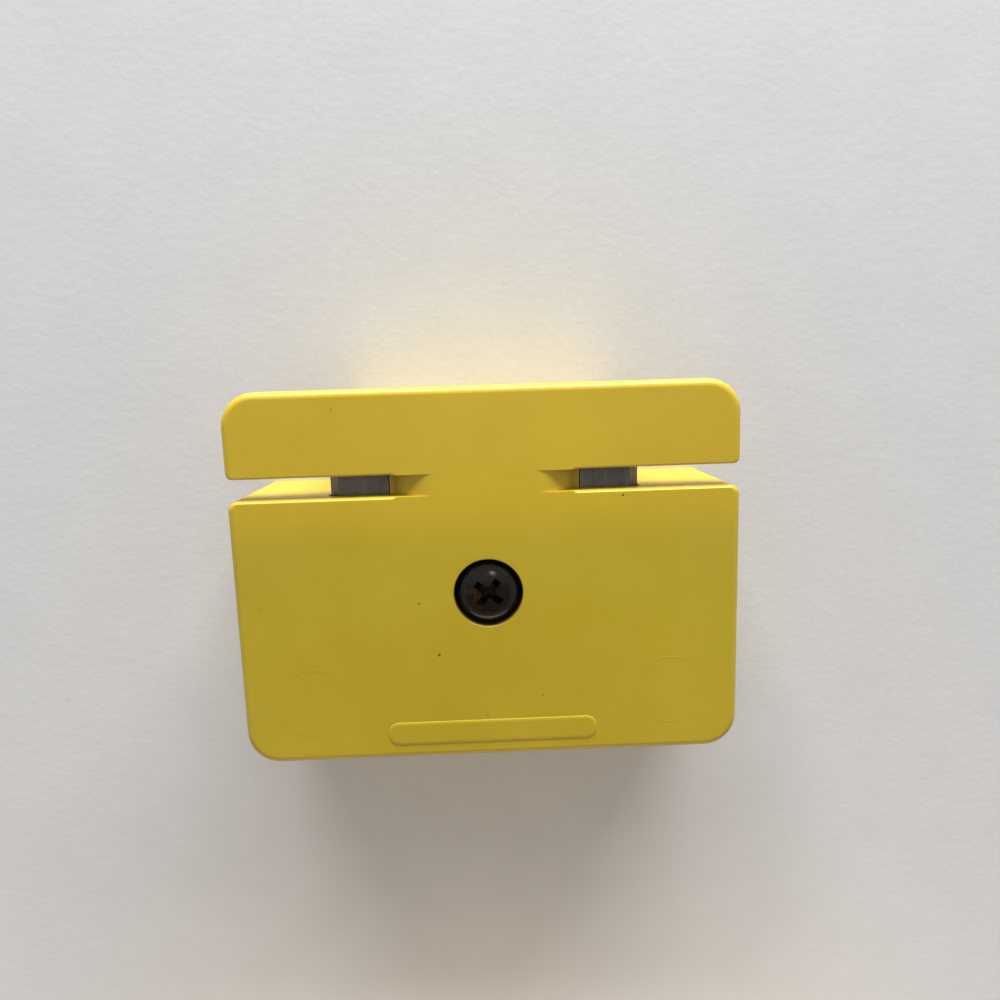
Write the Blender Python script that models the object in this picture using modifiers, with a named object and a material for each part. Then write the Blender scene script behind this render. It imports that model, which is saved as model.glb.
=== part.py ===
"""Two-sided edge trimmer: two mouldings clamp a pair of steel cutters, held by one central screw.

The block lies on its rear face. X is its width, Y runs from the foot of the block to the fence
above the slots, and Z points out of the front face. The origin is the centre of the rear face.
Each end has an open rabbet between the fence, the top of the body and the side of a central
tower, and the cutter's edge stands just proud of the tower in the corner of the rabbet.
"""

import math

import bmesh
import bpy
from mathutils import Matrix, Vector

MM = 0.001

# Driving sizes of the block
WIDTH = 60.3 * MM
HEIGHT = 45.25 * MM
THICKNESS = 19.05 * MM
COVER_THICKNESS = 2.4 * MM
FENCE_HEIGHT = 10.05 * MM
SLOT_HEIGHT = 2.5 * MM
TOWER_WIDTH = 34.8 * MM
TOWER_SHORT = 1.0 * MM
CLEARANCE = 0.1 * MM

# Outline corners and the rounding of the front and rear rims
OUTER_RADIUS = 4.0 * MM
BODY_SLOT_RADIUS = 1.2 * MM
FENCE_SLOT_RADIUS = 0.8 * MM
SLOT_END_RADIUS = 0.4 * MM
TOWER_RADIUS = 1.5 * MM
TOWER_FOOT_RADIUS = 0.5 * MM
RIM_ROUNDING = 0.9 * MM
SLOT_LIP_SHARE = 0.35

# Scoops in the cover that lead the chips from the cutters out to the front face
SCOOP_START = 5.85 * MM
SCOOP_RADIUS = 6.2 * MM
SCOOP_EASE = 0.02 * MM

# Walls and ribs inside the rear moulding
WALL = 2.4 * MM
TOWER_WALL = 2.0 * MM
RIB = 1.2 * MM
CORE_RADIUS = 1.0 * MM

# Cutters
BLADE_INNER = 11.45 * MM
BLADE_WIDTH = 7.15 * MM
BLADE_THICKNESS = 1.2 * MM
BLADE_BEVEL = 1.15 * MM
BLADE_LENGTH = 23.5 * MM
EDGE_LAND = 0.05 * MM

# Screw, an 8-32 pan head, with its washer and nut
SCREW_UP = 20.7 * MM
HEAD_RADIUS = 3.87 * MM
HEAD_HEIGHT = 2.75 * MM
HEAD_RIM = 1.25 * MM
SHANK_RADIUS = 2.05 * MM
SCREW_LENGTH = 15.9 * MM
RECESS_SPAN = 4.3 * MM
RECESS_WING = 1.0 * MM
RECESS_DEPTH = 1.7 * MM
RECESS_TURN = math.radians(52)
BORE_RADIUS = 2.25 * MM
NUT_BORE_RADIUS = 2.12 * MM
COUNTERBORE_RADIUS = 4.1 * MM
COUNTERBORE_DEPTH = 3.5 * MM
BOSS_RADIUS = 6.2 * MM
BOSS_FLOOR = 2.0 * MM
WASHER_RADIUS = 3.7 * MM
WASHER_THICKNESS = 0.9 * MM
WASHER_SPLIT = 0.5 * MM
NUT_ACROSS_FLATS = 8.73 * MM
NUT_THICKNESS = 3.18 * MM
NUT_RECESS = 0.5 * MM

# Locating pegs behind the cover, and the plain raised strip on its face
PEG_RADIUS = 1.5 * MM
PEG_LENGTH = 4.0 * MM
PEG_COLUMN = 3.0 * MM
LOWER_PEG = (21.8 * MM, -14.9 * MM)
UPPER_PEG = (6.4 * MM, 15.2 * MM)
STRIP_WIDTH = 25.6 * MM
STRIP_HEIGHT = 2.9 * MM
STRIP_PROUD = 0.1 * MM
STRIP_DOWN = 17.4 * MM

# Levels and places that follow from the sizes
HALF_WIDTH = WIDTH / 2
HALF_HEIGHT = HEIGHT / 2
FENCE_BASE = HALF_HEIGHT - FENCE_HEIGHT
BODY_TOP = FENCE_BASE - SLOT_HEIGHT
TOWER_TOP = HALF_HEIGHT - TOWER_SHORT
SLOT_INNER = SCOOP_START + math.sqrt(COVER_THICKNESS * (2 * SCOOP_RADIUS - COVER_THICKNESS))
SCREW_Y = -HALF_HEIGHT + SCREW_UP
COVER_BASE = THICKNESS - COVER_THICKNESS
PARTING = COVER_BASE - CLEARANCE
HEAD_SEAT = COVER_BASE
WASHER_BASE = HEAD_SEAT - CLEARANCE - WASHER_THICKNESS
BOSS_BASE = THICKNESS - COUNTERBORE_DEPTH - BOSS_FLOOR
BLADE_TOP = PARTING - CLEARANCE / 2
BLADE_BASE = BLADE_TOP - BLADE_THICKNESS
BLADE_UPPER_END = TOWER_TOP - TOWER_WALL
BLADE_LOWER_END = BLADE_UPPER_END - BLADE_LENGTH
SEAT_FLOOR = BLADE_BASE - CLEARANCE
OVERSHOOT = 2 * MM


def clear_scene():
    for obj in list(bpy.data.objects):
        bpy.data.objects.remove(obj, do_unlink=True)


def new_collection(name):
    collection = bpy.data.collections.new(name)
    bpy.context.scene.collection.children.link(collection)
    return collection


def principled(name, colour, roughness, metallic=0.0):
    material = bpy.data.materials.new(name)
    material.use_nodes = True
    shader = material.node_tree.nodes["Principled BSDF"]
    shader.inputs["Base Color"].default_value = (*colour, 1.0)
    shader.inputs["Roughness"].default_value = roughness
    shader.inputs["Metallic"].default_value = metallic
    return material


def add_object(name, bm, collection):
    """The bmesh as an object, its coplanar facets merged and its faces pointing out."""
    bmesh.ops.dissolve_limit(bm, angle_limit=math.radians(0.5), verts=bm.verts, edges=bm.edges)
    bmesh.ops.recalc_face_normals(bm, faces=bm.faces)
    mesh = bpy.data.meshes.new(name)
    bm.to_mesh(mesh)
    bm.free()
    obj = bpy.data.objects.new(name, mesh)
    collection.objects.link(obj)
    return obj


def rounded_outline(corners, steps):
    """Points of a closed outline from its (x, y, radius) corners, each turned as an arc."""
    points = []
    for i, (x, y, radius) in enumerate(corners):
        corner = Vector((x, y))
        before = (Vector(corners[i - 1][:2]) - corner).normalized()
        after = (Vector(corners[(i + 1) % len(corners)][:2]) - corner).normalized()
        half = before.angle(after) / 2
        centre = corner + (before + after).normalized() * radius / math.sin(half)
        start = corner + before * radius / math.tan(half) - centre
        end = corner + after * radius / math.tan(half) - centre
        turn = start.angle_signed(end)
        for k in range(steps + 1):
            points.append(centre + start @ Matrix.Rotation(turn * k / steps, 2))
    return points


def mirrored(right):
    """The corners of a whole outline from those of its right half, from the foot upwards."""
    return right + tuple((-x, y, radius) for x, y, radius in reversed(right))


def inset_outline(corners, inset, steps):
    """A right-angled outline with each side moved in, and the lips of the slots moved in less."""
    def side(a, b):
        along = (Vector(b[:2]) - Vector(a[:2])).normalized()
        lip = a[1] == b[1] and a[1] in (FENCE_BASE, BODY_TOP)
        return along, Vector((-along.y, along.x)) * inset * (SLOT_LIP_SHARE if lip else 1.0)

    moved = []
    for i, (x, y, radius) in enumerate(corners):
        came, first = side(corners[i - 1], corners[i])
        goes, second = side(corners[i], corners[(i + 1) % len(corners)])
        change = (first.length + second.length) / 2
        inner = radius - change if came.cross(goes) > 0 else radius + change
        moved.append((x + first.x + second.x, y + first.y + second.y, max(inner, 0.05 * MM)))
    return rounded_outline(moved, steps)


def plate(name, corners, low, high, collection, foot=0.0, rim=0.0, segments=3, steps=6):
    """A right-angled plate with round corners, its lower and upper edges rounded by radii."""
    def quarter(radius):
        turns = [math.pi / 2 * k / segments for k in range(segments + 1)]
        rounding = [(radius * (1 - math.cos(t)), radius * (1 - math.sin(t))) for t in turns]
        return rounding if radius else rounding[:1]

    rows = [(low + drop, inset) for inset, drop in reversed(quarter(foot))]
    rows += [(high - drop, inset) for inset, drop in quarter(rim)]
    bm = bmesh.new()
    rings = [[bm.verts.new((p.x, p.y, z)) for p in inset_outline(corners, inset, steps)]
             for z, inset in rows]
    for lower, upper in zip(rings, rings[1:]):
        for k in range(len(lower)):
            after = (k + 1) % len(lower)
            bm.faces.new((lower[k], lower[after], upper[after], upper[k]))
    bm.faces.new(rings[0])
    bm.faces.new(rings[-1])
    return add_object(name, bm, collection)


def rectangle(x0, x1, y0, y1, radius):
    return (x0, y0, radius), (x1, y0, radius), (x1, y1, radius), (x0, y1, radius)


def box(name, x0, x1, y0, y1, z0, z1, collection):
    bm = bmesh.new()
    bmesh.ops.create_cube(bm, size=1)
    bmesh.ops.scale(bm, verts=bm.verts, vec=(x1 - x0, y1 - y0, z1 - z0))
    bmesh.ops.translate(bm, verts=bm.verts, vec=((x0 + x1) / 2, (y0 + y1) / 2, (z0 + z1) / 2))
    return add_object(name, bm, collection)


def cylinder(name, radius, z0, z1, collection, centre=(0, SCREW_Y), sides=32):
    bm = bmesh.new()
    at = Matrix.Translation((centre[0], centre[1], (z0 + z1) / 2))
    bmesh.ops.create_cone(bm, cap_ends=True, segments=sides, radius1=radius, radius2=radius,
                          depth=z1 - z0, matrix=at)
    return add_object(name, bm, collection)


def turned(name, profile, collection, closed=False, sides=40):
    """A turned piece on the screw axis, from (radius, height) points down its outer side."""
    bm = bmesh.new()
    verts = [bm.verts.new((radius, 0, height)) for radius, height in profile]
    for a, b in zip(verts, verts[1:] + verts[:1] if closed else verts[1:]):
        bm.edges.new((a, b))
    mesh = bpy.data.meshes.new(name)
    bm.to_mesh(mesh)
    bm.free()
    obj = bpy.data.objects.new(name, mesh)
    obj.location = (0, SCREW_Y, 0)
    collection.objects.link(obj)
    spin = obj.modifiers.new("turn", "SCREW")
    spin.steps = spin.render_steps = sides
    spin.use_merge_vertices = True
    spin.merge_threshold = 1e-6
    return obj


def boolean(obj, other, operation="DIFFERENCE"):
    modifier = obj.modifiers.new(other.name, "BOOLEAN")
    modifier.object = other
    modifier.operation = operation
    other.hide_render = True
    other.display_type = "WIRE"


def finish(obj, material):
    obj.data.materials.append(material)
    obj.data.shade_smooth()
    obj.data.set_sharp_from_angle(angle=math.radians(35))
    return obj


def cover_corners():
    """The body's plate and the fence, joined by the stretch between the two slots."""
    return mirrored(((HALF_WIDTH, -HALF_HEIGHT, OUTER_RADIUS),
                     (HALF_WIDTH, BODY_TOP, BODY_SLOT_RADIUS),
                     (SLOT_INNER, BODY_TOP, SLOT_END_RADIUS),
                     (SLOT_INNER, FENCE_BASE, SLOT_END_RADIUS),
                     (HALF_WIDTH, FENCE_BASE, FENCE_SLOT_RADIUS),
                     (HALF_WIDTH, HALF_HEIGHT, OUTER_RADIUS)))


def body_corners():
    """The body with the tower that backs the cutters, and no fence."""
    return mirrored(((HALF_WIDTH, -HALF_HEIGHT, OUTER_RADIUS),
                     (HALF_WIDTH, BODY_TOP, BODY_SLOT_RADIUS),
                     (TOWER_WIDTH / 2, BODY_TOP, TOWER_FOOT_RADIUS),
                     (TOWER_WIDTH / 2, TOWER_TOP, TOWER_RADIUS)))


def blade_span(side):
    """The lowest and highest X of one cutter's channel."""
    return sorted((side * (BLADE_INNER - CLEARANCE),
                   side * (BLADE_INNER + BLADE_WIDTH + CLEARANCE)))


def peg_places():
    return [(side * x, y) for x, y in (LOWER_PEG, UPPER_PEG) for side in (-1, 1)]


def seat_ribs(core, name, inner_x, outer_x, low, high, count, tools):
    """Walls on both sides of a cutter and ribs under it, kept out of a core."""
    for x, part in ((inner_x - RIB / 2, "a"), (outer_x + RIB / 2, "b")):
        boolean(core, box(f"{name}_wall_{part}", x - RIB / 2, x + RIB / 2, low, high,
                          0, PARTING, tools))
    for k in range(count):
        y = low + (high - low) * (k + 1) / (count + 1)
        boolean(core, box(f"{name}_rib_{k}", inner_x - RIB / 2, outer_x + RIB / 2,
                          y - RIB / 2, y + RIB / 2, 0, SEAT_FLOOR, tools))


def tray_cores(tools):
    """What the rear moulding's cavities take away: the hollows, less ribs, boss and columns."""
    inner = HALF_WIDTH - WALL
    top = PARTING + OVERSHOOT
    body_core = plate("core_body", rectangle(
        -inner, inner, -HALF_HEIGHT + WALL, BODY_TOP - WALL, CORE_RADIUS), WALL, top, tools,
        steps=3)
    tower_inner = TOWER_WIDTH / 2 - TOWER_WALL
    tower_core = plate("core_tower", rectangle(
        -tower_inner, tower_inner, BODY_TOP, TOWER_TOP - TOWER_WALL, CORE_RADIUS),
        WALL, top, tools, steps=3)
    boss_top = BOSS_BASE - CLEARANCE
    boolean(body_core, cylinder("core_boss", BOSS_RADIUS, 0, boss_top, tools))
    boolean(body_core, box("core_rib_long", -WIDTH, WIDTH, SCREW_Y - RIB / 2, SCREW_Y + RIB / 2,
                           0, boss_top - RIB, tools))
    boolean(body_core, box("core_rib_short", -RIB / 2, RIB / 2, -HEIGHT, HEIGHT,
                           0, boss_top - RIB, tools))
    for x, y in peg_places():
        core = body_core if y < BODY_TOP else tower_core
        name = f"column_{'lower' if y < BODY_TOP else 'upper'}_{'left' if x < 0 else 'right'}"
        boolean(core, cylinder(name, PEG_COLUMN, 0, PARTING, tools, centre=(x, y), sides=24))
    stop = BLADE_LOWER_END - CLEARANCE
    for side, name in ((-1, "left"), (1, "right")):
        inner_x, outer_x = blade_span(side)
        seat_ribs(body_core, f"seat_{name}", inner_x, outer_x, stop - RIB, BODY_TOP, 2, tools)
        seat_ribs(tower_core, f"tower_{name}", inner_x, outer_x, BODY_TOP - WALL, TOWER_TOP,
                  2, tools)
        boolean(body_core, box(f"seat_stop_{name}", inner_x - RIB / 2, outer_x + RIB / 2,
                               stop - RIB, stop, 0, PARTING, tools))
    return body_core, tower_core


def hexagon(name, across_flats, z0, z1, collection):
    bm = bmesh.new()
    radius = across_flats / math.sqrt(3)
    at = Matrix.Translation((0, SCREW_Y, (z0 + z1) / 2))
    bmesh.ops.create_cone(bm, cap_ends=True, segments=6, radius1=radius, radius2=radius,
                          depth=z1 - z0, matrix=at)
    return add_object(name, bm, collection)


def rear_body(parts, tools):
    obj = plate("rear_body", body_corners(), 0, PARTING, parts, foot=RIM_ROUNDING)
    for core in tray_cores(tools):
        boolean(obj, core)
    for side, name in ((-1, "left"), (1, "right")):
        x0, x1 = blade_span(side)
        boolean(obj, box(f"blade_channel_{name}", x0, x1, BLADE_LOWER_END - CLEARANCE,
                         BLADE_UPPER_END + CLEARANCE, SEAT_FLOOR, PARTING + OVERSHOOT, tools))
    for k, place in enumerate(peg_places()):
        boolean(obj, cylinder(f"peg_socket_{k}", PEG_RADIUS + CLEARANCE, COVER_BASE - PEG_LENGTH
                              - RIB, PARTING + OVERSHOOT, tools, centre=place, sides=20))
    boolean(obj, cylinder("body_bore", BORE_RADIUS, -OVERSHOOT, PARTING, tools))
    boolean(obj, hexagon("nut_pocket", NUT_ACROSS_FLATS + 4 * CLEARANCE, -OVERSHOOT,
                         NUT_RECESS + NUT_THICKNESS + CLEARANCE, tools))
    return obj


def scoop(name, side, tools):
    """Takes the cover away from the slot's inner end, down to a shoulder round the Y axis."""
    x0, x1 = sorted((side * SCOOP_START, side * (SLOT_INNER + 3 * SLOT_END_RADIUS)))
    cutter = box(name, x0, x1, BODY_TOP - SCOOP_EASE, FENCE_BASE + SCOOP_EASE,
                 COVER_BASE - OVERSHOOT, THICKNESS + OVERSHOOT, tools)
    bm = bmesh.new()
    lay = Matrix.Translation((side * SCOOP_START, (BODY_TOP + FENCE_BASE) / 2,
                              THICKNESS - SCOOP_RADIUS)) @ Matrix.Rotation(math.pi / 2, 4, "X")
    bmesh.ops.create_cone(bm, cap_ends=True, segments=72, radius1=SCOOP_RADIUS,
                          radius2=SCOOP_RADIUS, depth=SLOT_HEIGHT + 2 * OVERSHOOT, matrix=lay)
    boolean(cutter, add_object(name + "_shoulder", bm, tools))
    return cutter


def front_cover(parts, tools):
    obj = plate("front_cover", cover_corners(), COVER_BASE, THICKNESS, parts, rim=RIM_ROUNDING)
    for side, name in ((-1, "left"), (1, "right")):
        boolean(obj, scoop(f"scoop_{name}", side, tools))
    boolean(obj, cylinder("cover_boss", BOSS_RADIUS, BOSS_BASE, THICKNESS - RIM_ROUNDING, tools,
                          sides=40), "UNION")
    for k, place in enumerate(peg_places()):
        boolean(obj, cylinder(f"peg_{k}", PEG_RADIUS, COVER_BASE - PEG_LENGTH,
                              THICKNESS - RIM_ROUNDING, tools, centre=place, sides=20), "UNION")
    strip_y = SCREW_Y - STRIP_DOWN
    strip = plate("label_strip", rectangle(
        -STRIP_WIDTH / 2, STRIP_WIDTH / 2, strip_y - STRIP_HEIGHT / 2, strip_y + STRIP_HEIGHT / 2,
        STRIP_HEIGHT * 0.45), COVER_BASE + RIM_ROUNDING, THICKNESS + STRIP_PROUD, tools)
    boolean(obj, strip, "UNION")
    boolean(obj, cylinder("counterbore", COUNTERBORE_RADIUS, THICKNESS - COUNTERBORE_DEPTH,
                          THICKNESS + OVERSHOOT, tools, sides=40))
    boolean(obj, cylinder("cover_bore", BORE_RADIUS, BOSS_BASE - OVERSHOOT,
                          THICKNESS + OVERSHOOT, tools))
    return obj


def blade(name, side, parts):
    """A flat cutter standing across a slot, its outer long edge bevelled towards the front."""
    inner, edge = BLADE_INNER, BLADE_INNER + BLADE_WIDTH
    section = ((inner, BLADE_BASE), (edge, BLADE_BASE), (edge, BLADE_BASE + EDGE_LAND),
               (edge - BLADE_BEVEL, BLADE_TOP), (inner, BLADE_TOP))
    bm = bmesh.new()
    face = bm.faces.new([bm.verts.new((side * x, BLADE_LOWER_END, z)) for x, z in section])
    grown = bmesh.ops.extrude_face_region(bm, geom=[face])["geom"]
    bmesh.ops.translate(bm, verts=[v for v in grown if isinstance(v, bmesh.types.BMVert)],
                        vec=(0, BLADE_LENGTH, 0))
    return add_object(name, bm, parts)


def recess_wing(name, turn, collection):
    """One tapered bar of the cross recess in the screw head."""
    bm = bmesh.new()
    bmesh.ops.create_cube(bm, size=1)
    top = HEAD_SEAT + HEAD_HEIGHT + OVERSHOOT / 4
    floor = HEAD_SEAT + HEAD_HEIGHT - RECESS_DEPTH
    for v in bm.verts:
        taper = 1.12 if v.co.z > 0 else 0.45
        v.co.x *= RECESS_SPAN * taper
        v.co.y *= RECESS_WING * (1.0 if v.co.z > 0 else 0.7)
        v.co.z = top if v.co.z > 0 else floor
    bmesh.ops.rotate(bm, verts=bm.verts, matrix=Matrix.Rotation(turn, 3, "Z"))
    bmesh.ops.translate(bm, verts=bm.verts, vec=(0, SCREW_Y, 0))
    return add_object(name, bm, collection)


def clamp_screw(parts, tools):
    dome_rise = HEAD_HEIGHT - HEAD_RIM
    steps = 7
    dome = [(HEAD_RADIUS * math.sin(k / steps * math.pi / 2) ** 0.9,
             HEAD_SEAT + HEAD_RIM + dome_rise * math.cos(k / steps * math.pi / 2))
            for k in range(steps + 1)]
    tip = HEAD_SEAT - SCREW_LENGTH
    chamfer = 0.5 * MM
    shank = [(HEAD_RADIUS, HEAD_SEAT), (SHANK_RADIUS, HEAD_SEAT),
             (SHANK_RADIUS, tip + chamfer), (SHANK_RADIUS - chamfer, tip), (0, tip)]
    obj = turned("clamp_screw", dome + shank, parts)
    for k in range(2):
        boolean(obj, recess_wing(f"recess_{k}", RECESS_TURN + k * math.pi / 2, tools))
    return obj


def lock_washer(parts, tools):
    inner, outer = BORE_RADIUS, WASHER_RADIUS
    top, base = WASHER_BASE + WASHER_THICKNESS, WASHER_BASE
    obj = turned("lock_washer", [(outer, top), (outer, base), (inner, base), (inner, top)],
                 parts, closed=True)
    gap = box("washer_split", 0, 2 * WASHER_RADIUS, SCREW_Y - WASHER_SPLIT / 2,
              SCREW_Y + WASHER_SPLIT / 2, base - OVERSHOOT, top + OVERSHOOT, tools)
    boolean(obj, gap)
    return obj


def hex_nut(parts, tools):
    base, top = NUT_RECESS, NUT_RECESS + NUT_THICKNESS
    obj = hexagon("hex_nut", NUT_ACROSS_FLATS, base, top, parts)
    corner = NUT_ACROSS_FLATS / math.sqrt(3)
    chamfer = 0.35 * MM
    barrel = turned("nut_chamfer", [(0, top), (corner - 2 * chamfer, top),
                                    (corner + chamfer / 2, top - 1.5 * chamfer),
                                    (corner + chamfer / 2, base + 1.5 * chamfer),
                                    (corner - 2 * chamfer, base), (0, base)], tools, sides=36)
    boolean(obj, barrel, "INTERSECT")
    boolean(obj, cylinder("nut_bore", NUT_BORE_RADIUS, base - OVERSHOOT, top + OVERSHOOT, tools))
    return obj


def main():
    clear_scene()
    parts = new_collection("edge_trimmer")
    tools = new_collection("cutters")
    tools.hide_render = True
    finish(front_cover(parts, tools), principled("cover_yellow", (0.86, 0.68, 0.012), 0.38))
    finish(rear_body(parts, tools), principled("body_yellow", (0.86, 0.68, 0.012), 0.38))
    for side, name in ((-1, "left"), (1, "right")):
        steel = principled(f"blade_steel_{name}", (0.42, 0.42, 0.42), 0.34, 0.9)
        finish(blade(f"blade_{name}", side, parts), steel)
    finish(clamp_screw(parts, tools), principled("black_oxide", (0.018, 0.016, 0.013), 0.25, 0.6))
    finish(lock_washer(parts, tools), principled("dark_spring_steel", (0.06, 0.05, 0.04), 0.4, 0.9))
    finish(hex_nut(parts, tools), principled("zinc_plate", (0.55, 0.55, 0.56), 0.32, 0.9))


main()
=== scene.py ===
"""Looks of a two-sided edge trimmer: two yellow mouldings, two ground cutters and a black screw."""

import math

import bmesh
import bpy
from mathutils import Matrix, Vector


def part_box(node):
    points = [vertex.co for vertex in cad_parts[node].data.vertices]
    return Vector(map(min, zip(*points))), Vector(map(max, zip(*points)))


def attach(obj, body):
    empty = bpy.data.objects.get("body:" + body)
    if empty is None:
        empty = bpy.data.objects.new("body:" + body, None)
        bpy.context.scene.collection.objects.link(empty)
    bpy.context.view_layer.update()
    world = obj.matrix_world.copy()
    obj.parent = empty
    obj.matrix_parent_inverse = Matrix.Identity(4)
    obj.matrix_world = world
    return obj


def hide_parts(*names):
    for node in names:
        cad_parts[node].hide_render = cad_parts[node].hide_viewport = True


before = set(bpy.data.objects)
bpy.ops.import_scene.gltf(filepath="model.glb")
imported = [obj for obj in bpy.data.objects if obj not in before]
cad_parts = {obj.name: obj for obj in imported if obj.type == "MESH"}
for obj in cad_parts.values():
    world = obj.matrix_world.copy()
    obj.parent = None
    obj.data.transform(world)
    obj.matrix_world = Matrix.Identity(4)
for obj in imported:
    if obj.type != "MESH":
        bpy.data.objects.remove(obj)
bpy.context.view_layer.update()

MM = 0.001
SIDES = ((-1, "left"), (1, "right"))

# Sizes of the mouldings that the CAD's boxes don't tell
FENCE_HEIGHT = 10.05 * MM
SLOT_HEIGHT = 2.5 * MM
TOWER_WIDTH = 34.8 * MM
CLEARANCE = 0.1 * MM
OUTER_RADIUS = 4.0 * MM
BODY_SLOT_RADIUS = 1.2 * MM
FENCE_SLOT_RADIUS = 0.8 * MM
SLOT_END_RADIUS = 0.4 * MM
TOWER_RADIUS = 1.5 * MM
TOWER_FOOT_RADIUS = 0.5 * MM
RIM_ROUNDING = 0.9 * MM
SLOT_LIP_SHARE = 0.35
SEAM_ROUNDING = 0.15 * MM
SCOOP_START = 5.85 * MM
SCOOP_RADIUS = 6.2 * MM
SCOOP_EASE = 0.02 * MM
WALL = 2.4 * MM
TOWER_WALL = 2.0 * MM
RIB = 1.2 * MM
CORE_RADIUS = 1.0 * MM
BOSS_FLOOR = 2.0 * MM
BOSS_RADIUS = 6.2 * MM
PEG_RADIUS = 1.5 * MM
PEG_LENGTH = 4.0 * MM
PEG_COLUMN = 3.0 * MM
PEGS = ((21.8 * MM, -14.9 * MM), (6.4 * MM, 15.2 * MM))
WITNESS_RADIUS = 4.15 * MM
WITNESS_WIDTH = 0.22 * MM
WITNESS_PROUD = 0.025 * MM
WITNESS_CREST = 0.02 * MM
STRIP_WIDTH = 25.6 * MM
STRIP_HEIGHT = 2.9 * MM
STRIP_PROUD = 0.1 * MM
STRIP_DOWN = 17.4 * MM
STRIP_ROUNDING = 0.09 * MM
STRIP_FLARE = 5
STRIP_END_SHARE = 0.45
SMALLEST_RADIUS = 0.02 * MM

# Screw, washer and nut
BORE_RADIUS = 2.25 * MM
COUNTERBORE_RADIUS = 4.1 * MM
COUNTERBORE_DEPTH = 3.5 * MM
MOUTH_ROUNDING = 0.15 * MM
HEAD_HEIGHT = 2.75 * MM
HEAD_RIM = 1.25 * MM
SHANK_RADIUS = 2.05 * MM
THREAD_PITCH = 0.794 * MM
THREAD_DEPTH = 0.42 * MM
THREAD_FLANK = 2.3
TIP_CHAMFER = 0.5 * MM
RECESS_SPAN = 4.3 * MM
RECESS_WING = 1.0 * MM
RECESS_DEPTH = 1.7 * MM
RECESS_TURN = math.radians(52)
RECESS_TOP_SHARE = 1.12
RECESS_FLOOR_SHARE = 0.45
RECESS_FLOOR_WING = 0.7
RECESS_CONE = (0.5 * MM, 0.95 * MM)
NUT_BORE_RADIUS = 2.12 * MM
NUT_POCKET_GAP = 0.4 * MM
BLADE_BEVEL = 1.15 * MM
BLADE_EASE = 0.05 * MM
OVERSHOOT = 2 * MM

# Places that follow from the frame
COVER_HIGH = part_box("front_cover")[1]
BODY_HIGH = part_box("rear_body")[1]
BLADE_LOW, BLADE_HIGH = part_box("blade_right")
SCREW_LOW, SCREW_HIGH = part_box("clamp_screw")
WASHER_LOW, WASHER_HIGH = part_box("lock_washer")
NUT_LOW, NUT_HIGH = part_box("hex_nut")
HALF_WIDTH = BODY_HIGH.x
HALF_HEIGHT = COVER_HIGH.y
TOWER_TOP = BODY_HIGH.y
PARTING = BODY_HIGH.z
COVER_BASE = PARTING + CLEARANCE
THICKNESS = COVER_HIGH.z - STRIP_PROUD
FENCE_BASE = HALF_HEIGHT - FENCE_HEIGHT
BODY_TOP = FENCE_BASE - SLOT_HEIGHT
COVER_THICKNESS = THICKNESS - COVER_BASE
SLOT_INNER = SCOOP_START + math.sqrt(COVER_THICKNESS * (2 * SCOOP_RADIUS - COVER_THICKNESS))
SCREW_Y = (SCREW_LOW.y + SCREW_HIGH.y) / 2
HEAD_RADIUS = (SCREW_HIGH.x - SCREW_LOW.x) / 2
HEAD_SEAT = SCREW_HIGH.z - HEAD_HEIGHT
BOSS_BASE = THICKNESS - COUNTERBORE_DEPTH - BOSS_FLOOR
SEAT_FLOOR = BLADE_LOW.z - CLEARANCE

# How meshes are merged and shaded
FLAT_ANGLE = math.radians(0.2)
EASE_ANGLE = math.radians(40)
SHARP_ANGLE = math.radians(38)

# Plastic, clear and in its deeper clouds, its specks, a painted shade down the counterbore's wall,
# and a painted shade that darkens it from one height down to another
YELLOW = (0.565, 0.402, 0.021, 1)
DEEP_YELLOW = (0.525, 0.368, 0.018, 1)
SPECK_COLOUR = (0.13, 0.09, 0.015, 1)
# Painted shade on the counterbore's wall: its colour and strength
BORE_SHADE_COLOUR = (0.075, 0.036, 0.005, 1)
BORE_SHADE = 0.9
# Painted shade below the slots: its colour, strength and the heights it fades between
LOWER_SHADE_COLOUR = (0.03, 0.15, 0.02, 1)
LOWER_SHADE = 0.15
SHADE_FROM, SHADE_TO = 8.5 * MM, 4 * MM

# Camera and lights
CAMERA_PLACE = (0.0, 0.02336, 0.10682)
CAMERA_TURN = (math.radians(-9.073), math.radians(-1.412), math.radians(-1.789))
LENS = 27.36
SENSOR_WIDTH = 36
CLIP_START = 0.005
FLOOR_SIZE = 3.0
SKY_COLOUR = (0.93, 0.96, 1.0, 1)
SKY_STRENGTH = 0.43

# Name, place, what it is aimed at, size, power and colour of each lamp
LAMPS = (("window", (0.06, 0.75, 0.19), (0, 0, 0), (0.8, 0.26), 16.0, (1.0, 0.99, 0.98)),
         ("ceiling", (0.14, 0.35, 0.9), (0, 0, 0), (0.12, 0.12), 0.4, (1, 1, 1)),
         ("bounce", (0, -0.13, 0.05), (0, -0.05, 0), (0.15, 0.04), 0.05, (1.0, 0.80, 0.55)))

# A dark flag over the foot of the block keeps the top light off it; no camera sees the flag
FLAG_SIZE = (0.11, 0.08, 1.0)
FLAG_PLACE = (0.0, -0.043, 0.080)
FLAG_COLOUR = (0.30, 0.20, 0.11, 1)


# Mesh helpers

def scene_object(name, mesh):
    obj = bpy.data.objects.new(name, mesh)
    bpy.context.scene.collection.objects.link(obj)
    return obj


def from_bmesh(name, bm, merge_flat=True):
    if merge_flat:
        bmesh.ops.dissolve_limit(bm, angle_limit=FLAT_ANGLE, verts=bm.verts, edges=bm.edges)
    bmesh.ops.recalc_face_normals(bm, faces=bm.faces)
    mesh = bpy.data.meshes.new(name)
    bm.to_mesh(mesh)
    bm.free()
    return scene_object(name, mesh)


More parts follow.
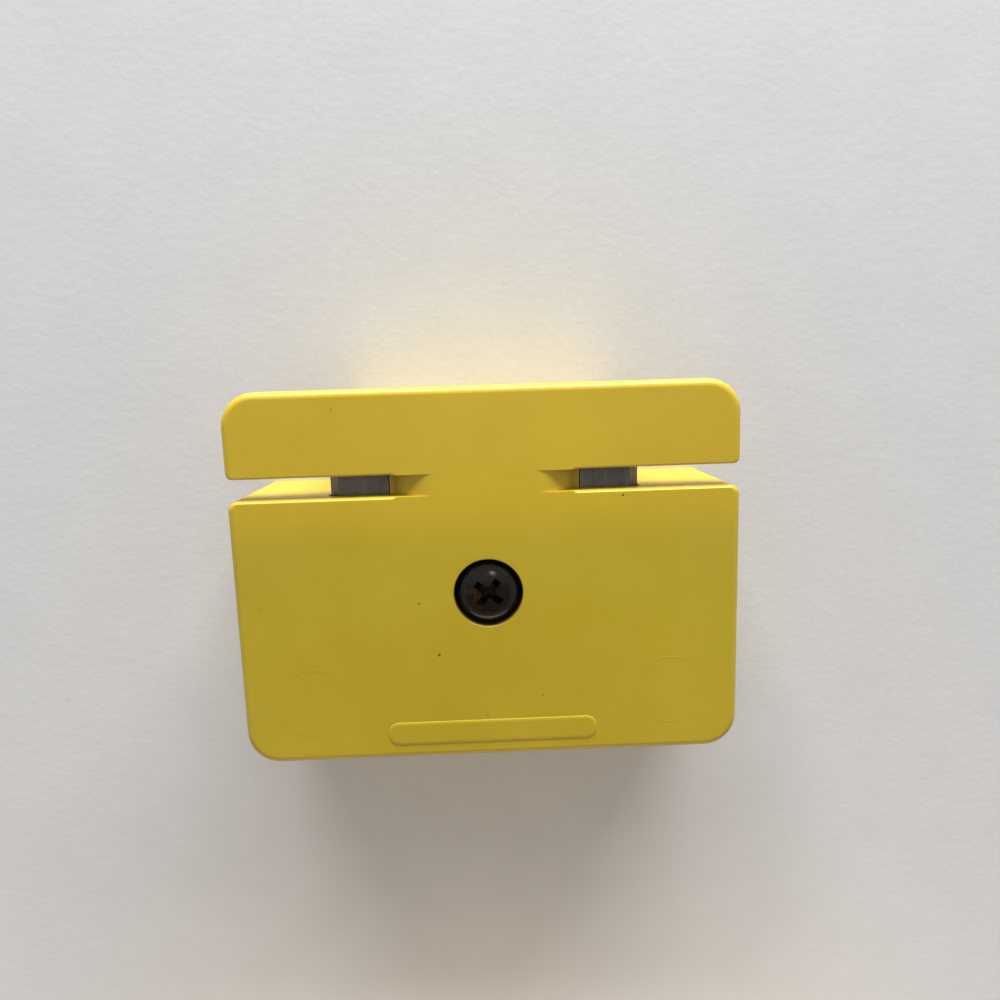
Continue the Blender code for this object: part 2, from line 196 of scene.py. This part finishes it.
def rounded_outline(corners, steps=10):
    """Points of a closed outline from its (x, y, radius) corners, each turned as an arc."""
    points = []
    for i, (x, y, radius) in enumerate(corners):
        corner = Vector((x, y))
        before = (Vector(corners[i - 1][:2]) - corner).normalized()
        after = (Vector(corners[(i + 1) % len(corners)][:2]) - corner).normalized()
        half = before.angle(after) / 2
        centre = corner + (before + after).normalized() * radius / math.sin(half)
        start = corner + before * radius / math.tan(half) - centre
        end = corner + after * radius / math.tan(half) - centre
        turn = start.angle_signed(end)
        for k in range(steps + 1):
            points.append(centre + start @ Matrix.Rotation(turn * k / steps, 2))
    return points


def mirrored(right):
    """The corners of a whole outline from those of its right half, from the foot upwards."""
    return right + tuple((-x, y, radius) for x, y, radius in reversed(right))


def inset_outline(corners, inset, steps):
    """A right-angled outline with each side moved in, and the lips of the slots moved in less."""
    def side(a, b):
        along = (Vector(b[:2]) - Vector(a[:2])).normalized()
        lip = a[1] == b[1] and a[1] in (FENCE_BASE, BODY_TOP)
        return along, Vector((-along.y, along.x)) * inset * (SLOT_LIP_SHARE if lip else 1.0)

    moved = []
    for i, (x, y, radius) in enumerate(corners):
        came, first = side(corners[i - 1], corners[i])
        goes, second = side(corners[i], corners[(i + 1) % len(corners)])
        change = (first.length + second.length) / 2
        inner = radius - change if came.cross(goes) > 0 else radius + change
        moved.append((x + first.x + second.x, y + first.y + second.y, max(inner, SMALLEST_RADIUS)))
    return rounded_outline(moved, steps)


def rectangle(x0, x1, y0, y1, radius):
    return (x0, y0, radius), (x1, y0, radius), (x1, y1, radius), (x0, y1, radius)


def skin(bm, rings):
    """Joins rings of points in turn, and closes both ends."""
    for ring, following in zip(rings, rings[1:]):
        for k in range(len(ring)):
            after = (k + 1) % len(ring)
            bm.faces.new((ring[k], ring[after], following[after], following[k]))
    bm.faces.new(rings[0])
    bm.faces.new(rings[-1])


def plate(name, corners, low, high, foot=0.0, rim=0.0, flare=1.0, segments=6, steps=10):
    """A right-angled plate with round corners, its lower and upper edges rounded by radii.

    flare widens the rounding into a slope, without making it deeper."""
    def quarter(radius):
        turns = [math.pi / 2 * k / segments for k in range(segments + 1)]
        rounding = [(radius * flare * (1 - math.cos(t)), radius * (1 - math.sin(t)))
                    for t in turns]
        return rounding if radius else rounding[:1]

    rows = [(low + drop, inset) for inset, drop in reversed(quarter(foot))]
    rows += [(high - drop, inset) for inset, drop in quarter(rim)]
    bm = bmesh.new()
    rings = [[bm.verts.new((p.x, p.y, z)) for p in inset_outline(corners, inset, steps)]
             for z, inset in rows]
    skin(bm, rings)
    return from_bmesh(name, bm)


def box(name, x0, x1, y0, y1, z0, z1):
    bm = bmesh.new()
    bmesh.ops.create_cube(bm, size=1)
    bmesh.ops.scale(bm, verts=bm.verts, vec=(x1 - x0, y1 - y0, z1 - z0))
    bmesh.ops.translate(bm, verts=bm.verts, vec=((x0 + x1) / 2, (y0 + y1) / 2, (z0 + z1) / 2))
    return from_bmesh(name, bm)


def cylinder(name, radius, z0, z1, centre=None, sides=64, tip=None):
    x, y = centre or (0, SCREW_Y)
    bm = bmesh.new()
    bmesh.ops.create_cone(bm, cap_ends=True, segments=sides, radius1=tip or radius,
                          radius2=radius, depth=z1 - z0,
                          matrix=Matrix.Translation((x, y, (z0 + z1) / 2)))
    return from_bmesh(name, bm)


def lathe(name, rows, columns=64, centre=None, thread=None):
    """A turned solid from (radius, height) rows down its outer side, closed on the axis.

    thread gives (top, bottom) heights between which the radius follows a screw thread."""
    x, y = centre or (0, SCREW_Y)
    bm = bmesh.new()
    rings = []
    for radius, height in rows:
        ring = []
        for k in range(columns):
            share = k / columns
            reach = radius
            if thread and thread[1] <= height <= thread[0]:
                phase = (height / THREAD_PITCH - share) % 1
                fade = min(1, (thread[0] - height) / THREAD_PITCH,
                           (height - thread[1]) / THREAD_PITCH)
                reach -= THREAD_DEPTH * fade * (1 - min(1, THREAD_FLANK * abs(2 * phase - 1)))
            turn = 2 * math.pi * share
            ring.append(bm.verts.new((x + reach * math.cos(turn), y + reach * math.sin(turn),
                                      height)))
        rings.append(ring)
    for upper, lower in zip(rings, rings[1:]):
        for k in range(columns):
            after = (k + 1) % columns
            bm.faces.new((upper[k], lower[k], lower[after], upper[after]))
    bm.faces.new(rings[0])
    bm.faces.new(rings[-1])
    return from_bmesh(name, bm, merge_flat=False)


def boolean(obj, other, operation="DIFFERENCE"):
    modifier = obj.modifiers.new(other.name, "BOOLEAN")
    modifier.object = other
    modifier.operation = operation
    obj["helpers"] = list(obj.get("helpers", [])) + [other.name]


def settle(obj, ease=0.0):
    """Applies the modifiers, with flat faces kept flat in shade, and clears the helpers away."""
    if ease:
        bevel = obj.modifiers.new("ease", "BEVEL")
        bevel.limit_method = "ANGLE"
        bevel.angle_limit = EASE_ANGLE
        bevel.width = ease
        bevel.segments = 2
    graph = bpy.context.evaluated_depsgraph_get()
    mesh = bpy.data.meshes.new_from_object(obj.evaluated_get(graph))
    mesh.shade_smooth()
    mesh.set_sharp_from_angle(angle=SHARP_ANGLE)
    helpers = [bpy.data.objects[name] for name in obj.get("helpers", [])]
    while helpers:
        helper = helpers.pop()
        helpers += [bpy.data.objects[name] for name in helper.get("helpers", [])]
        bpy.data.objects.remove(helper, do_unlink=True)
    obj.modifiers.clear()
    if "helpers" in obj:
        del obj["helpers"]
    old, obj.data = obj.data, mesh
    bpy.data.meshes.remove(old)
    weighted = obj.modifiers.new("even", "WEIGHTED_NORMAL")
    weighted.keep_sharp = True
    weighted.weight = 100
    graph = bpy.context.evaluated_depsgraph_get()
    even = bpy.data.meshes.new_from_object(obj.evaluated_get(graph))
    obj.modifiers.clear()
    obj.data = even
    bpy.data.meshes.remove(mesh)
    return obj


def stands_for(obj, node, body, material):
    obj.data.materials.clear()
    obj.data.materials.append(material)
    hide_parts(node)
    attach(obj, body)


# Pieces

def scoop(name, side):
    """Takes the cover away at the slot's inner end, down to a shoulder round the Y axis."""
    x0, x1 = sorted((side * SCOOP_START, side * (SLOT_INNER + 3 * SLOT_END_RADIUS)))
    cutter = box(name, x0, x1, BODY_TOP - SCOOP_EASE, FENCE_BASE + SCOOP_EASE,
                 COVER_BASE - OVERSHOOT, THICKNESS + OVERSHOOT)
    bm = bmesh.new()
    lay = Matrix.Translation((side * SCOOP_START, (BODY_TOP + FENCE_BASE) / 2,
                              THICKNESS - SCOOP_RADIUS)) @ Matrix.Rotation(math.pi / 2, 4, "X")
    bmesh.ops.create_cone(bm, cap_ends=True, segments=180, radius1=SCOOP_RADIUS,
                          radius2=SCOOP_RADIUS, depth=SLOT_HEIGHT + 2 * OVERSHOOT, matrix=lay)
    boolean(cutter, from_bmesh(name + "_shoulder", bm))
    return cutter


def witness_ring(name, centre):
    """The faint ring that a core pin leaves on the face."""
    inner, outer = WITNESS_RADIUS - WITNESS_WIDTH / 2, WITNESS_RADIUS + WITNESS_WIDTH / 2
    base = THICKNESS - 2 * STRIP_PROUD
    ring = lathe(name, ((WITNESS_RADIUS, THICKNESS + WITNESS_PROUD), (outer, THICKNESS),
                        (outer, base)), 96, centre)
    crest, top = WITNESS_RADIUS - WITNESS_CREST, THICKNESS + WITNESS_PROUD
    bore = lathe(name + "_bore", ((crest, top + OVERSHOOT), (crest, top), (inner, THICKNESS),
                                  (inner, base - OVERSHOOT)), 96, centre)
    boolean(ring, bore)
    return ring


def peg_places():
    return [(side * x, y) for x, y in PEGS for side in (-1, 1)]


def cover_moulding():
    corners = mirrored(((HALF_WIDTH, -HALF_HEIGHT, OUTER_RADIUS),
                        (HALF_WIDTH, BODY_TOP, BODY_SLOT_RADIUS),
                        (SLOT_INNER, BODY_TOP, SLOT_END_RADIUS),
                        (SLOT_INNER, FENCE_BASE, SLOT_END_RADIUS),
                        (HALF_WIDTH, FENCE_BASE, FENCE_SLOT_RADIUS),
                        (HALF_WIDTH, HALF_HEIGHT, OUTER_RADIUS)))
    obj = plate("cover_moulding", corners, COVER_BASE, THICKNESS, SEAM_ROUNDING, RIM_ROUNDING)
    for side, name in SIDES:
        boolean(obj, scoop(f"scoop_{name}", side))
    boolean(obj, cylinder("boss", BOSS_RADIUS, BOSS_BASE, THICKNESS - RIM_ROUNDING), "UNION")
    for k, place in enumerate(peg_places()):
        boolean(obj, cylinder(f"peg_{k}", PEG_RADIUS, COVER_BASE - PEG_LENGTH,
                              THICKNESS - RIM_ROUNDING, place, sides=40), "UNION")
    strip_y = SCREW_Y - STRIP_DOWN
    strip = plate("strip", rectangle(
        -STRIP_WIDTH / 2, STRIP_WIDTH / 2, strip_y - STRIP_HEIGHT / 2, strip_y + STRIP_HEIGHT / 2,
        STRIP_HEIGHT * STRIP_END_SHARE), COVER_BASE + RIM_ROUNDING, THICKNESS + STRIP_PROUD,
        rim=STRIP_ROUNDING, flare=STRIP_FLARE, segments=4)
    boolean(obj, strip, "UNION")
    x, y = PEGS[0]
    for side, name in SIDES:
        boolean(obj, witness_ring(f"witness_{name}", (side * x, y)), "UNION")
    floor = THICKNESS - COUNTERBORE_DEPTH
    mouth = [(COUNTERBORE_RADIUS + MOUTH_ROUNDING * (1 - math.cos(turn)),
              THICKNESS - MOUTH_ROUNDING * (1 - math.sin(turn)))
             for turn in (math.pi / 2 * (1 - k / 6) for k in range(7))]
    boolean(obj, lathe("counterbore", [(mouth[0][0], THICKNESS + OVERSHOOT)] + mouth
                       + [(COUNTERBORE_RADIUS, floor), (BORE_RADIUS, floor),
                          (BORE_RADIUS, BOSS_BASE - OVERSHOOT)], 96))
    return settle(obj)


def blade_span(side):
    return sorted((side * (BLADE_LOW.x - CLEARANCE), side * (BLADE_HIGH.x + CLEARANCE)))


def seat_ribs(core, name, inner_x, outer_x, low, high):
    """Walls on both sides of a cutter and two ribs under it, kept out of a core."""
    for x, part in ((inner_x - RIB / 2, "a"), (outer_x + RIB / 2, "b")):
        boolean(core, box(f"{name}_wall_{part}", x - RIB / 2, x + RIB / 2, low, high,
                          0, PARTING))
    for k in (1, 2):
        y = low + (high - low) * k / 3
        boolean(core, box(f"{name}_rib_{k}", inner_x - RIB / 2, outer_x + RIB / 2,
                          y - RIB / 2, y + RIB / 2, 0, SEAT_FLOOR))


def tray_cores():
    inner = HALF_WIDTH - WALL
    top = PARTING + OVERSHOOT
    body_core = plate("core_body", rectangle(
        -inner, inner, -HALF_HEIGHT + WALL, BODY_TOP - WALL, CORE_RADIUS), WALL, top, steps=4)
    tower_inner = TOWER_WIDTH / 2 - TOWER_WALL
    tower_core = plate("core_tower", rectangle(
        -tower_inner, tower_inner, BODY_TOP, TOWER_TOP - TOWER_WALL, CORE_RADIUS), WALL, top,
        steps=4)
    boss_top = BOSS_BASE - CLEARANCE
    boolean(body_core, cylinder("core_boss", BOSS_RADIUS, 0, boss_top))
    boolean(body_core, box("core_rib_long", -2 * HALF_WIDTH, 2 * HALF_WIDTH, SCREW_Y - RIB / 2,
                           SCREW_Y + RIB / 2, 0, boss_top - RIB))
    boolean(body_core, box("core_rib_short", -RIB / 2, RIB / 2, -2 * HALF_HEIGHT,
                           2 * HALF_HEIGHT, 0, boss_top - RIB))
    for k, place in enumerate(peg_places()):
        core = body_core if place[1] < BODY_TOP else tower_core
        boolean(core, cylinder(f"column_{k}", PEG_COLUMN, 0, PARTING, place, sides=40))
    stop = BLADE_LOW.y - CLEARANCE
    for side, name in SIDES:
        inner_x, outer_x = blade_span(side)
        seat_ribs(body_core, f"seat_{name}", inner_x, outer_x, stop - RIB, BODY_TOP)
        seat_ribs(tower_core, f"tower_{name}", inner_x, outer_x, BODY_TOP - WALL, TOWER_TOP)
        boolean(body_core, box(f"seat_stop_{name}", inner_x - RIB / 2, outer_x + RIB / 2,
                               stop - RIB, stop, 0, PARTING))
    return body_core, tower_core


def hexagon(name, across_flats, z0, z1):
    return cylinder(name, across_flats / math.sqrt(3), z0, z1, sides=6)


def body_moulding():
    corners = mirrored(((HALF_WIDTH, -HALF_HEIGHT, OUTER_RADIUS),
                        (HALF_WIDTH, BODY_TOP, BODY_SLOT_RADIUS),
                        (TOWER_WIDTH / 2, BODY_TOP, TOWER_FOOT_RADIUS),
                        (TOWER_WIDTH / 2, TOWER_TOP, TOWER_RADIUS)))
    obj = plate("body_moulding", corners, 0, PARTING, RIM_ROUNDING, SEAM_ROUNDING)
    for core in tray_cores():
        boolean(obj, core)
    for side, name in SIDES:
        x0, x1 = blade_span(side)
        boolean(obj, box(f"blade_channel_{name}", x0, x1, BLADE_LOW.y - CLEARANCE,
                         BLADE_HIGH.y + CLEARANCE, SEAT_FLOOR, PARTING + OVERSHOOT))
    for k, place in enumerate(peg_places()):
        boolean(obj, cylinder(f"peg_socket_{k}", PEG_RADIUS + CLEARANCE,
                              COVER_BASE - PEG_LENGTH - RIB, PARTING + OVERSHOOT, place,
                              sides=40))
    boolean(obj, cylinder("body_bore", BORE_RADIUS, -OVERSHOOT, PARTING))
    boolean(obj, hexagon("nut_pocket", NUT_HIGH.x - NUT_LOW.x + NUT_POCKET_GAP, -OVERSHOOT,
                         NUT_HIGH.z + CLEARANCE))
    return settle(obj)


def cutter(name, side):
    """A ground flat cutter with its outer long edge bevelled towards the front."""
    inner, edge = BLADE_LOW.x, BLADE_HIGH.x
    section = ((inner, BLADE_LOW.z), (edge, BLADE_LOW.z), (edge, BLADE_LOW.z + BLADE_EASE),
               (edge - BLADE_BEVEL, BLADE_HIGH.z), (inner, BLADE_HIGH.z))
    bm = bmesh.new()
    skin(bm, [[bm.verts.new((side * x, y, z)) for x, z in section]
              for y in (BLADE_LOW.y, BLADE_HIGH.y)])
    return settle(from_bmesh(name, bm), ease=BLADE_EASE * 0.6)


def recess_wing(name, turn):
    """One tapered bar of the cross recess in the screw head."""
    bm = bmesh.new()
    bmesh.ops.create_cube(bm, size=1)
    top = SCREW_HIGH.z + OVERSHOOT / 4
    floor = SCREW_HIGH.z - RECESS_DEPTH
    for v in bm.verts:
        upper = v.co.z > 0
        v.co.x *= RECESS_SPAN * (RECESS_TOP_SHARE if upper else RECESS_FLOOR_SHARE)
        v.co.y *= RECESS_WING * (1.0 if upper else RECESS_FLOOR_WING)
        v.co.z = top if upper else floor
    bmesh.ops.rotate(bm, verts=bm.verts, matrix=Matrix.Rotation(turn, 3, "Z"))
    bmesh.ops.translate(bm, verts=bm.verts, vec=(0, SCREW_Y, 0))
    return from_bmesh(name, bm)


def cross_head_screw():
    rise = HEAD_HEIGHT - HEAD_RIM
    steps = 14
    dome = [(max(HEAD_RADIUS * math.sin(k / steps * math.pi / 2) ** 0.9, 0.05 * MM),
             HEAD_SEAT + HEAD_RIM + rise * math.cos(k / steps * math.pi / 2))
            for k in range(steps + 1)]
    under = 0.12 * MM
    rim = [(HEAD_RADIUS, HEAD_SEAT + under), (HEAD_RADIUS - under, HEAD_SEAT)]
    tip = SCREW_LOW.z
    start, end = HEAD_SEAT, tip + TIP_CHAMFER
    count = round((start - end) / THREAD_PITCH * 10)
    shank = [(SHANK_RADIUS, start + (end - start) * k / count) for k in range(count + 1)]
    obj = lathe("cross_head_screw", dome + rim + shank + [(SHANK_RADIUS - TIP_CHAMFER, tip)], 60,
                thread=(start - THREAD_PITCH, end - THREAD_PITCH / 4))
    for k in range(2):
        boolean(obj, recess_wing(f"recess_{k}", RECESS_TURN + k * math.pi / 2))
    tip, top = RECESS_CONE
    boolean(obj, cylinder("recess_cone", top, SCREW_HIGH.z - RECESS_DEPTH,
                          SCREW_HIGH.z + OVERSHOOT / 4, sides=32, tip=tip))
    return settle(obj)


def split_washer():
    """A spring washer of square wire, its two ends a little out of line at the split."""
    split = 0.5 * MM
    lift = 0.03 * MM
    chamfer = 0.08 * MM
    inner, outer = BORE_RADIUS, (WASHER_HIGH.x - WASHER_LOW.x) / 2
    low, high = WASHER_LOW.z + lift, WASHER_HIGH.z - lift
    section = ((inner, low + chamfer), (inner + chamfer, low), (outer - chamfer, low),
               (outer, low + chamfer), (outer, high - chamfer), (outer - chamfer, high),
               (inner + chamfer, high), (inner, high - chamfer))
    first = math.asin(split / 2 / outer)
    steps = 72
    bm = bmesh.new()
    rings = []
    for k in range(steps + 1):
        turn = first + (2 * math.pi - 2 * first) * k / steps
        drop = lift * (2 * k / steps - 1)
        rings.append([bm.verts.new((r * math.cos(turn), SCREW_Y + r * math.sin(turn), z + drop))
                      for r, z in section])
    skin(bm, rings)
    return settle(from_bmesh("split_washer", bm, merge_flat=False))


def plated_nut():
    across = NUT_HIGH.x - NUT_LOW.x
    corner = across / math.sqrt(3)
    low, high = NUT_LOW.z, NUT_HIGH.z
    chamfer = 0.35 * MM
    obj = hexagon("plated_nut", across, low, high)
    boolean(obj, lathe("nut_barrel", ((corner - 2 * chamfer, high),
                                      (corner + chamfer / 2, high - 1.5 * chamfer),
                                      (corner + chamfer / 2, low + 1.5 * chamfer),
                                      (corner - 2 * chamfer, low))), "INTERSECT")
    lead = 0.3 * MM
    boolean(obj, lathe("nut_bore", ((NUT_BORE_RADIUS + lead, high + OVERSHOOT),
                                    (NUT_BORE_RADIUS + lead, high), (NUT_BORE_RADIUS, high - lead),
                                    (NUT_BORE_RADIUS, low + lead), (NUT_BORE_RADIUS + lead, low),
                                    (NUT_BORE_RADIUS + lead, low - OVERSHOOT))))
    return settle(obj)


# Materials

class Nodes:
    """A short hand for building one material's nodes."""

    def __init__(self, name):
        self.material = bpy.data.materials.new(name)
        self.material.use_nodes = True
        self.tree = self.material.node_tree
        self.shader = self.tree.nodes["Principled BSDF"]
        self.place = self.tree.nodes.new("ShaderNodeTexCoord").outputs["Object"]

    def add(self, kind, inputs=(), **settings):
        node = self.tree.nodes.new("ShaderNode" + kind)
        for key, value in settings.items():
            setattr(node, key, value)
        for key, value in dict(inputs).items():
            self.join(node.inputs[key], value)
        return node

    def join(self, socket, value):
        if isinstance(value, bpy.types.NodeSocket):
            self.tree.links.new(value, socket)
        else:
            socket.default_value = value

    def noise(self, scale, detail=2.0, roughness=0.5, stretch=(1, 1, 1)):
        """Noise with so many waves a metre."""
        place = self.add("Mapping", {"Vector": self.place, "Scale": stretch}).outputs["Vector"]
        return self.add("TexNoise", {"Vector": place, "Scale": scale, "Detail": detail,
                                     "Roughness": roughness}).outputs["Fac"]

    def span(self, value, low, high, to_low=0.0, to_high=1.0):
        return self.add("MapRange", {"Value": value, "From Min": low, "From Max": high,
                                     "To Min": to_low, "To Max": to_high}).outputs["Result"]

    def mix(self, factor, a, b):
        node = self.add("Mix", data_type="RGBA")
        self.join(node.inputs[0], factor)
        self.join(node.inputs[6], a)
        self.join(node.inputs[7], b)
        return node.outputs[2]

    def bump(self, height, distance, strength=1.0, normal=None):
        node = self.add("Bump", {"Height": height, "Distance": distance, "Strength": strength})
        if normal is not None:
            self.join(node.inputs["Normal"], normal)
        return node.outputs["Normal"]

    def finish(self, **sockets):
        for key, value in sockets.items():
            self.join(self.shader.inputs[key.replace("_", " ")], value)
        return self.material


def stain_and_shade(n):
    """Painted shade: a brown darkening down the counterbore's wall, where the wall lies in shadow.
    """
    offset = n.add("VectorMath", {0: n.place, 1: (0, SCREW_Y, 0)}, operation="SUBTRACT")
    flat = n.add("VectorMath", {0: offset.outputs[0], 1: (1, 1, 0)}, operation="MULTIPLY")
    reach = n.add("VectorMath", {0: flat.outputs[0]}, operation="LENGTH").outputs["Value"]
    return n.span(reach, COUNTERBORE_RADIUS + MOUTH_ROUNDING, COUNTERBORE_RADIUS, 0, BORE_SHADE)


def moulded_plastic(name, seed):
    """Satin yellow plastic: soft cloudiness, a fine mould texture, sparse specks and rub marks.

    Below the slots a painted shade makes it a little darker, and a painted brown shade runs down
    the counterbore's wall."""
    n = Nodes(name)
    n.place = n.add("Mapping", {"Vector": n.place, "Location": (seed, 0, 0)}).outputs["Vector"]
    cloud = n.span(n.noise(38, 3.0), 0.35, 0.65)
    base = n.mix(cloud, DEEP_YELLOW, YELLOW)
    height = n.add("SeparateXYZ", {"Vector": n.place}).outputs["Y"]
    # Painted shade: a little darker below the slots
    base = n.mix(n.span(height, SHADE_FROM, SHADE_TO, 0, LOWER_SHADE), base, LOWER_SHADE_COLOUR)
    speck = n.span(n.noise(900, 0.0), 0.876, 0.90)
    base = n.mix(speck, base, SPECK_COLOUR)
    # Painted shade down the counterbore's wall
    base = n.mix(stain_and_shade(n), base, BORE_SHADE_COLOUR)
    rub = n.span(n.noise(420, 3.0, 0.6, (1, 0.12, 1)), 0.60, 0.74)
    rough = n.add("Math", {0: n.span(n.noise(150, 4.0), 0.3, 0.7, 0.33, 0.43),
                           1: n.span(rub, 0, 1, 0, 0.08)}, operation="ADD").outputs[0]
    texture = n.bump(n.noise(3600, 2.0), 0.012 * MM, 0.5)
    sink = n.bump(n.noise(75, 1.0), 0.10 * MM, 0.35, texture)
    return n.finish(Base_Color=base, Roughness=rough, Normal=sink, IOR=1.5,
                    Subsurface_Weight=0.12, Subsurface_Scale=0.0012,
                    Subsurface_Radius=(1.0, 0.7, 0.15))


def ground_steel(name):
    """Hard grey steel with grinding lines along the cutter and a little stain."""
    n = Nodes(name)
    lines = n.noise(5200, 3.0, 0.6, (1, 0.02, 1))
    stain_and_shade = n.noise(260, 4.0)
    base = n.mix(n.span(stain_and_shade, 0.35, 0.7), (0.20, 0.185, 0.175, 1), (0.125, 0.115, 0.105, 1))
    base = n.mix(n.span(lines, 0.45, 0.75, 0, 0.5), base, (0.30, 0.285, 0.27, 1))
    rough = n.span(lines, 0.3, 0.7, 0.32, 0.48)
    return n.finish(Base_Color=base, Roughness=rough, Metallic=0.85,
                    Normal=n.bump(lines, 0.006 * MM, 0.6))


def black_oxide(name):
    """Oiled black oxide, with brown wear where the coat is thin."""
    n = Nodes(name)
    thin = n.span(n.noise(700, 4.0), 0.55, 0.75)
    base = n.mix(thin, (0.008, 0.007, 0.004, 1), (0.030, 0.018, 0.007, 1))
    rough = n.span(n.noise(1400, 3.0), 0.3, 0.7, 0.12, 0.22)
    return n.finish(Base_Color=base, Roughness=rough, Metallic=0.2, IOR=1.45,
                    Normal=n.bump(n.noise(2600, 3.0), 0.01 * MM, 0.35))


def spring_steel(name):
    n = Nodes(name)
    base = n.mix(n.span(n.noise(600, 3.0), 0.4, 0.65), (0.05, 0.042, 0.034, 1),
                 (0.09, 0.07, 0.05, 1))
    rough = n.span(n.noise(1800, 2.0), 0.3, 0.7, 0.34, 0.5)
    return n.finish(Base_Color=base, Roughness=rough, Metallic=0.9,
                    Normal=n.bump(n.noise(3000, 2.0), 0.01 * MM, 0.5))


def zinc_plate(name):
    n = Nodes(name)
    base = n.mix(n.span(n.noise(500, 4.0), 0.35, 0.7), (0.56, 0.57, 0.58, 1),
                 (0.42, 0.43, 0.45, 1))
    rough = n.span(n.noise(1500, 3.0), 0.3, 0.7, 0.24, 0.40)
    return n.finish(Base_Color=base, Roughness=rough, Metallic=0.95,
                    Normal=n.bump(n.noise(2200, 2.0), 0.012 * MM, 0.5))


def table_top(name):
    """Pale laminate with a fine pebble."""
    n = Nodes(name)
    base = n.mix(n.span(n.noise(110, 4.0), 0.3, 0.7), (0.585, 0.58, 0.58, 1),
                 (0.605, 0.60, 0.60, 1))
    return n.finish(Base_Color=base, Roughness=0.55,
                    Normal=n.bump(n.noise(900, 3.0), 0.06 * MM, 0.5))


# Stage

def card(name, size):
    bm = bmesh.new()
    bmesh.ops.create_grid(bm, x_segments=1, y_segments=1, size=size / 2)
    return from_bmesh(name, bm, merge_flat=False)


def lamp(name, place, target, size, power, colour):
    light = bpy.data.lights.new(name, "AREA")
    light.shape = "RECTANGLE"
    light.size, light.size_y = size
    light.energy = power
    light.color = colour
    obj = bpy.data.objects.new(name, light)
    obj.location = place
    aim = Vector(target) - Vector(place)
    obj.rotation_euler = aim.to_track_quat("-Z", "Y").to_euler()
    bpy.context.scene.collection.objects.link(obj)


def studio():
    scene = bpy.context.scene
    scene.view_settings.view_transform = "Standard"
    world = bpy.data.worlds.new("studio")
    scene.world = world
    world.use_nodes = True
    sky = world.node_tree.nodes["Background"]
    sky.inputs["Color"].default_value = SKY_COLOUR
    sky.inputs["Strength"].default_value = SKY_STRENGTH

    floor = card("floor", FLOOR_SIZE)
    floor.data.materials.append(table_top("table_top"))
    for settings in LAMPS:
        lamp(*settings)

    flag = card("flag", 1.0)
    flag.scale = FLAG_SIZE
    flag.location = FLAG_PLACE
    flag.visible_camera = False
    grey = bpy.data.materials.new("flag_grey")
    grey.use_nodes = True
    grey.node_tree.nodes["Principled BSDF"].inputs["Base Color"].default_value = FLAG_COLOUR
    flag.data.materials.append(grey)


def photographer():
    data = bpy.data.cameras.new("camera")
    data.lens = LENS
    data.sensor_width = SENSOR_WIDTH
    data.clip_start = CLIP_START
    camera = bpy.data.objects.new("camera", data)
    camera.location = CAMERA_PLACE
    camera.rotation_euler = CAMERA_TURN
    bpy.context.scene.collection.objects.link(camera)
    bpy.context.scene.camera = camera


photographer()
studio()
stands_for(cover_moulding(), "front_cover", "block",
           moulded_plastic("cover_yellow", 0.0))
stands_for(body_moulding(), "rear_body", "block",
           moulded_plastic("body_yellow", 0.37))
steel = ground_steel("ground_steel")
for side, name in SIDES:
    stands_for(cutter(f"cutter_{name}", side), f"blade_{name}", "block", steel)
stands_for(cross_head_screw(), "clamp_screw", "screw", black_oxide("black_oxide"))
stands_for(split_washer(), "lock_washer", "washer", spring_steel("spring_steel"))
stands_for(plated_nut(), "hex_nut", "block", zinc_plate("zinc_plate"))
